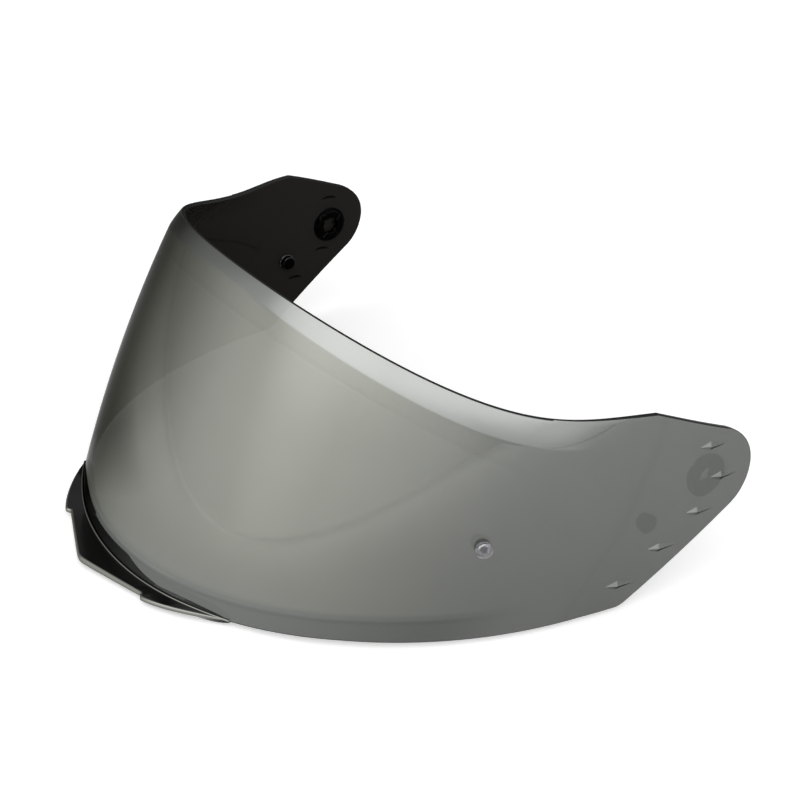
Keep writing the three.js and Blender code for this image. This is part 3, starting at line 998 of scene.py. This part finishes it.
# Eccentric pins: each has a black plastic inner half that goes through the sheet, with a flange, and with a
# neck and tip off the pin's centre. Outside it has a low clear plastic button with a hexagonal socket.
# Both halves turn as one.
pin_throw = 0.7 * mm
stud_radius = 1.5 * mm
flange_radius = 3.4 * mm
neck_radius = 1.9 * mm
tip_radius = 2.9 * mm
button_radius = 2.9 * mm
button_height = 2 * mm
socket_radius = 1.3 * mm
socket_floor = 1.5 * mm
overlap = 0.1 * mm
inside = -(sheet_thickness - recess_depth) - clearance
under_head = clearance + 0.8 * mm
flange_end = inside - 0.8 * mm
neck_end = flange_end - 1.7 * mm
tip_end = neck_end - 0.9 * mm

clear_button, clear_shader = principled_material(
    "clear_button", (0.6, 0.59, 0.62), 0.04, Transmission_Weight=0.9, IOR=1.49,
)
uneven_gloss(clear_button, clear_shader, 300, 0.03, 0.07)

for side, hand in (("left", 1), ("right", -1)):
    stud = cylinder(stud_radius, flange_end - 2 * overlap, under_head, 48)
    combine(stud, cylinder(flange_radius, flange_end, inside), "UNION")
    for radius, low, high in (
        (neck_radius, neck_end - overlap, flange_end + overlap),
        (tip_radius, tip_end, neck_end),
    ):
        turned_off_centre = cylinder(radius, low, high)
        turned_off_centre.data.transform(Matrix.Translation((pin_throw, 0, 0)))
        combine(stud, turned_off_centre, "UNION")
    round_corners(stud, 0.12 * mm, 2, black_moulded)
    stud.data.transform(pin_frame(hand))
    stud.name = "pin_inner_" + side
    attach(stud, "pin_" + side)
    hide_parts("pin_stud_" + side)

    head = cylinder(button_radius, clearance, clearance + button_height)
    socket = cylinder(socket_radius, clearance + socket_floor, clearance + 2 * socket_floor, 6)
    combine(head, socket, "DIFFERENCE")
    combine(head, cylinder(pin_hole_radius, 0, under_head + clearance), "DIFFERENCE")
    round_corners(head, 0.3 * mm, 3, clear_button)
    head.data.transform(pin_frame(hand))
    head.name = "pin_button_" + side
    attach(head, "pin_" + side)
    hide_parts("pin_head_" + side)


# Floor, lamps and surroundings: a plain pale floor, a wide soft panel in front whose light fades towards its
# sides, a dim fill low in front, a small panel at the wearer's left, and a pale room all round. In mirrors
# the room and the floor are dimmer on the side away from the camera.
panel_azimuth = 25


def level_heading(azimuth):
    """Level direction for an azimuth in degrees: 0 is in front, + to the wearer's left."""
    return Vector((math.sin(math.radians(azimuth)), -math.cos(math.radians(azimuth)), 0))


dim_side = level_heading(-121)


def reach_along(owner, point, direction):
    """How far a point or direction lies along another direction."""
    product = node(owner, "ShaderNodeVectorMath", operation="DOT_PRODUCT")
    product.inputs[1].default_value = direction
    link(owner, point, product.inputs[0])
    return product.outputs["Value"]


def side_dimming(owner, side):
    """Level of the mirrored room, by how far a direction lies towards its dim side."""
    return ramp(owner, side, (
        (0.01, 1), (0.23, 0.87), (0.36, 0.7), (0.48, 0.57), (0.72, 0.42),
        (0.84, 0.31), (0.92, 0.15), (0.985, 0.06), (1, 0.02),
    ))


def blend(owner, factor, low, high):
    """A number between two levels, each a socket or a number."""
    made = node(owner, "ShaderNodeMix", data_type="FLOAT")
    link(owner, factor, made.inputs["Factor"])
    for socket, level in ((made.inputs["A"], low), (made.inputs["B"], high)):
        if isinstance(level, (int, float)):
            socket.default_value = level
        else:
            link(owner, level, socket)
    return made.outputs["Result"]


def seen_level(owner, direct, mirrored, otherwise):
    """One level seen directly, one seen in a mirror or through clear plastic, and one for all other light."""
    path = node(owner, "ShaderNodeLightPath").outputs
    in_mirror = sum_of(owner, "MAXIMUM", path["Is Glossy Ray"], path["Is Transmission Ray"])
    indirect = blend(owner, in_mirror, otherwise, mirrored)
    return blend(owner, path["Is Camera Ray"], indirect, direct)


pick()
bpy.ops.mesh.primitive_plane_add(size=24)
floor = bpy.context.object
floor.name = "floor"
pale_floor, floor_shader = principled_material("pale_floor", (0.8, 0.8, 0.8), 1.0, Specular_IOR_Level=0.0)
floor_shader.inputs["Emission Color"].default_value = (1, 1, 1, 1)
floor_point = object_point(pale_floor)
away = node(pale_floor, "ShaderNodeVectorMath", operation="LENGTH")
link(pale_floor, floor_point, away.inputs[0])
distance = away.outputs["Value"]
glow_reach = 6
floor_glow = ramp(pale_floor, sum_of(pale_floor, "DIVIDE", distance, glow_reach), [
    (metres / glow_reach, level)
    for metres, level in ((0.2, 0.4), (0.8, 0.48), (1.5, 0.5), (3, 0.48), (4.2, 0.58), (5.5, 0.68))
])

# The wide panel stands on the floor, and behind it no lamp lights the floor, so its own glow takes over there
past_panel = reach_along(pale_floor, floor_point, level_heading(panel_azimuth))
behind_panel = spread(pale_floor, past_panel, 4.2, 4.4, 0, 0.3)
floor_heading = node(pale_floor, "ShaderNodeVectorMath", operation="NORMALIZE")
link(pale_floor, floor_point, floor_heading.inputs[0])
floor_side = reach_along(pale_floor, floor_heading.outputs["Vector"], dim_side)
floor_dimming = blend(
    pale_floor,
    spread(pale_floor, distance, 0.18, 0.45, 0, 1),
    ramp(pale_floor, floor_side, (
        (0, 0.97), (0.1, 0.82), (0.22, 0.62), (0.39, 0.38), (0.8, 0.42), (0.93, 0.22), (1, 0.04),
    )),
    side_dimming(pale_floor, floor_side),
)
mirrored_glow = sum_of(pale_floor, "ADD", floor_glow, behind_panel)
mirrored_glow = sum_of(pale_floor, "MULTIPLY", mirrored_glow, floor_dimming)
open_glow = spread(pale_floor, distance, 0.3, 3, 0.42, 0.75)
link(
    pale_floor,
    seen_level(pale_floor, open_glow, mirrored_glow, 0),
    floor_shader.inputs["Emission Strength"],
)
floor_white = 0.8
mirrored_white = sum_of(pale_floor, "MULTIPLY", floor_dimming, floor_white)
link(
    pale_floor,
    seen_level(pale_floor, floor_white, mirrored_white, floor_white),
    floor_shader.inputs["Base Color"],
)
floor.data.materials.append(pale_floor)

world = bpy.data.worlds.new("pale_room")
bpy.context.scene.world = world
world.use_nodes = True
room_light = world.node_tree.nodes["Background"]
room_light.inputs["Color"].default_value = (1, 1, 1, 1)
room_direction = node(world, "ShaderNodeTexCoord").outputs["Generated"]
room_dimming = side_dimming(world, reach_along(world, room_direction, dim_side))
link(world, seen_level(world, 1, room_dimming, 0.4), room_light.inputs["Strength"])


def soft_panel(name, azimuth, elevation, distance, width, height, brightness, across_stops, up_stops):
    """A panel of light that faces the visor, with its levels across and up as stops."""
    aim = Vector((0.02, -0.02, 0.06))
    elevation = math.radians(elevation)
    towards = level_heading(azimuth) * math.cos(elevation) + Vector((0, 0, math.sin(elevation)))
    bpy.ops.object.light_add(type="AREA", location=aim + towards * distance)
    lamp = bpy.context.object
    lamp.name = name
    lamp.rotation_euler = towards.to_track_quat("Z", "Y").to_euler()
    lamp.data.shape = "RECTANGLE"
    lamp.data.size = width
    lamp.data.size_y = height
    lamp.data.energy = brightness * math.pi * width * height
    lamp.visible_camera = False
    lamp.data.use_nodes = True
    spot = node(lamp.data, "ShaderNodeNewGeometry")
    apart = node(lamp.data, "ShaderNodeSeparateXYZ")
    link(lamp.data, spot.outputs["Parametric"], apart.inputs["Vector"])
    across = ramp(lamp.data, apart.outputs["X"], across_stops)
    up = ramp(lamp.data, apart.outputs["Y"], up_stops)
    for level in (across, up):
        level.node.color_ramp.interpolation = "B_SPLINE"
    product = sum_of(lamp.data, "MULTIPLY", across, up)
    link(lamp.data, product, lamp.data.node_tree.nodes["Emission"].inputs["Strength"])
    return lamp


soft_panel(
    "soft_panel", panel_azimuth, 42, 3.2, 9.8, 5.8, 1.75,
    (
        (0.17, 0), (0.22, 0.06), (0.26, 0.3), (0.31, 0.62), (0.37, 0.88),
        (0.45, 1), (0.72, 1), (0.85, 0.7), (1, 0),
    ),
    ((0, 0.2), (0.16, 0.23), (0.24, 0.31), (0.32, 0.5), (0.4, 0.8), (0.5, 0.97), (1, 0.9)),
)
soft_panel(
    "low_fill", -12, 13.5, 3.2, 3.8, 1.8, 0.33,
    ((0, 0), (0.25, 0.5), (0.5, 1), (0.75, 0.5), (1, 0)),
    ((0, 1), (0.6, 1), (0.85, 0.4), (1, 0)),
)
soft_panel(
    "side_panel", 103, 17, 3, 3.6, 1.8, 1.3,
    ((0, 0), (0.15, 0.3), (0.35, 1), (0.65, 1), (0.85, 0.4), (1, 0)),
    ((0, 0.2), (0.3, 1), (0.7, 1), (1, 0.2)),
)

bpy.context.scene.view_settings.view_transform = "Standard"
